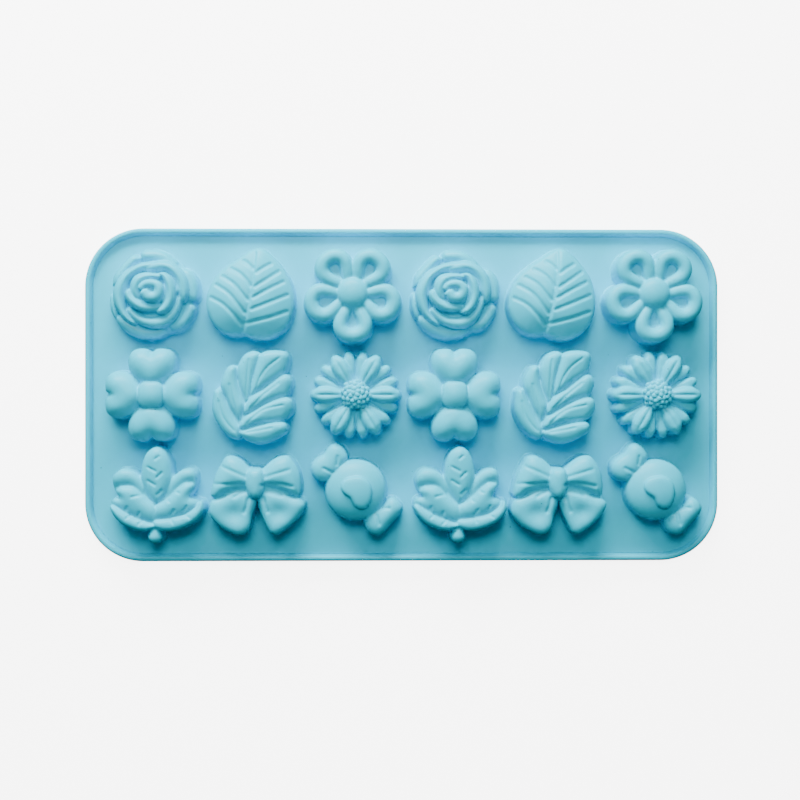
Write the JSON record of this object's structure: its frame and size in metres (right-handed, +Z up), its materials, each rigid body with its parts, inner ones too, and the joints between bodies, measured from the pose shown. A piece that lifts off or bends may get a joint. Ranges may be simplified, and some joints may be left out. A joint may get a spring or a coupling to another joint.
{
  "type": "soap mould",
  "caption": "Flexible silicone soap mould: a flat sheet with a bead rim and flower, leaf, bow and wrapped sweet cavities, lying face down with the cup backs up.",
  "frame": {"origin": "middle of the mould on the surface it lies on, in the plane of the cup mouths", "axes": "+X along the length, +Y across the width towards the row of roses, +Z up, from the mouths to the closed backs of the cups"},
  "size_m": [0.3, 0.1574, 0.0202],
  "materials": {
    "sheet_silicone": "satin",
    "rim_silicone": "satin",
    "cup_silicone": "satin"
  },
  "bodies": {
    "sheet": {"web_sheet": "sheet_silicone", "rim_bead": "rim_silicone"},
    "rose_left": {"rose_cup_left": "cup_silicone"},
    "rose_right": {"rose_cup_right": "cup_silicone"},
    "leaf_left": {"leaf_cup_left": "cup_silicone"},
    "leaf_right": {"leaf_cup_right": "cup_silicone"},
    "flower_left": {"flower_cup_left": "cup_silicone"},
    "flower_right": {"flower_cup_right": "cup_silicone"},
    "clover_left": {"clover_cup_left": "cup_silicone"},
    "clover_right": {"clover_cup_right": "cup_silicone"},
    "frond_left": {"frond_cup_left": "cup_silicone"},
    "frond_right": {"frond_cup_right": "cup_silicone"},
    "daisy_left": {"daisy_cup_left": "cup_silicone"},
    "daisy_right": {"daisy_cup_right": "cup_silicone"},
    "maple_left": {"maple_cup_left": "cup_silicone"},
    "maple_right": {"maple_cup_right": "cup_silicone"},
    "bow_left": {"bow_cup_left": "cup_silicone"},
    "bow_right": {"bow_cup_right": "cup_silicone"},
    "sweet_left": {"sweet_cup_left": "cup_silicone"},
    "sweet_right": {"sweet_cup_right": "cup_silicone"}
  },
  "joints": [
    {"name": "rose_left_push", "type": "slide", "parent": "sheet", "child": "rose_left", "axis": [0, 0, -1], "range_m": [0, 0.006], "stiffness_N_per_m": 1500},
    {"name": "rose_right_push", "type": "slide", "parent": "sheet", "child": "rose_right", "axis": [0, 0, -1], "range_m": [0, 0.006], "stiffness_N_per_m": 1500},
    {"name": "leaf_left_push", "type": "slide", "parent": "sheet", "child": "leaf_left", "axis": [0, 0, -1], "range_m": [0, 0.006], "stiffness_N_per_m": 1500},
    {"name": "leaf_right_push", "type": "slide", "parent": "sheet", "child": "leaf_right", "axis": [0, 0, -1], "range_m": [0, 0.006], "stiffness_N_per_m": 1500},
    {"name": "flower_left_push", "type": "slide", "parent": "sheet", "child": "flower_left", "axis": [0, 0, -1], "range_m": [0, 0.006], "stiffness_N_per_m": 1500},
    {"name": "flower_right_push", "type": "slide", "parent": "sheet", "child": "flower_right", "axis": [0, 0, -1], "range_m": [0, 0.006], "stiffness_N_per_m": 1500},
    {"name": "clover_left_push", "type": "slide", "parent": "sheet", "child": "clover_left", "axis": [0, 0, -1], "range_m": [0, 0.006], "stiffness_N_per_m": 1500},
    {"name": "clover_right_push", "type": "slide", "parent": "sheet", "child": "clover_right", "axis": [0, 0, -1], "range_m": [0, 0.006], "stiffness_N_per_m": 1500},
    {"name": "frond_left_push", "type": "slide", "parent": "sheet", "child": "frond_left", "axis": [0, 0, -1], "range_m": [0, 0.006], "stiffness_N_per_m": 1500},
    {"name": "frond_right_push", "type": "slide", "parent": "sheet", "child": "frond_right", "axis": [0, 0, -1], "range_m": [0, 0.006], "stiffness_N_per_m": 1500},
    {"name": "daisy_left_push", "type": "slide", "parent": "sheet", "child": "daisy_left", "axis": [0, 0, -1], "range_m": [0, 0.006], "stiffness_N_per_m": 1500},
    {"name": "daisy_right_push", "type": "slide", "parent": "sheet", "child": "daisy_right", "axis": [0, 0, -1], "range_m": [0, 0.006], "stiffness_N_per_m": 1500},
    {"name": "maple_left_push", "type": "slide", "parent": "sheet", "child": "maple_left", "axis": [0, 0, -1], "range_m": [0, 0.006], "stiffness_N_per_m": 1500},
    {"name": "maple_right_push", "type": "slide", "parent": "sheet", "child": "maple_right", "axis": [0, 0, -1], "range_m": [0, 0.006], "stiffness_N_per_m": 1500},
    {"name": "bow_left_push", "type": "slide", "parent": "sheet", "child": "bow_left", "axis": [0, 0, -1], "range_m": [0, 0.006], "stiffness_N_per_m": 1500},
    {"name": "bow_right_push", "type": "slide", "parent": "sheet", "child": "bow_right", "axis": [0, 0, -1], "range_m": [0, 0.006], "stiffness_N_per_m": 1500},
    {"name": "sweet_left_push", "type": "slide", "parent": "sheet", "child": "sweet_left", "axis": [0, 0, -1], "range_m": [0, 0.006], "stiffness_N_per_m": 1500},
    {"name": "sweet_right_push", "type": "slide", "parent": "sheet", "child": "sweet_right", "axis": [0, 0, -1], "range_m": [0, 0.006], "stiffness_N_per_m": 1500}
  ]
}
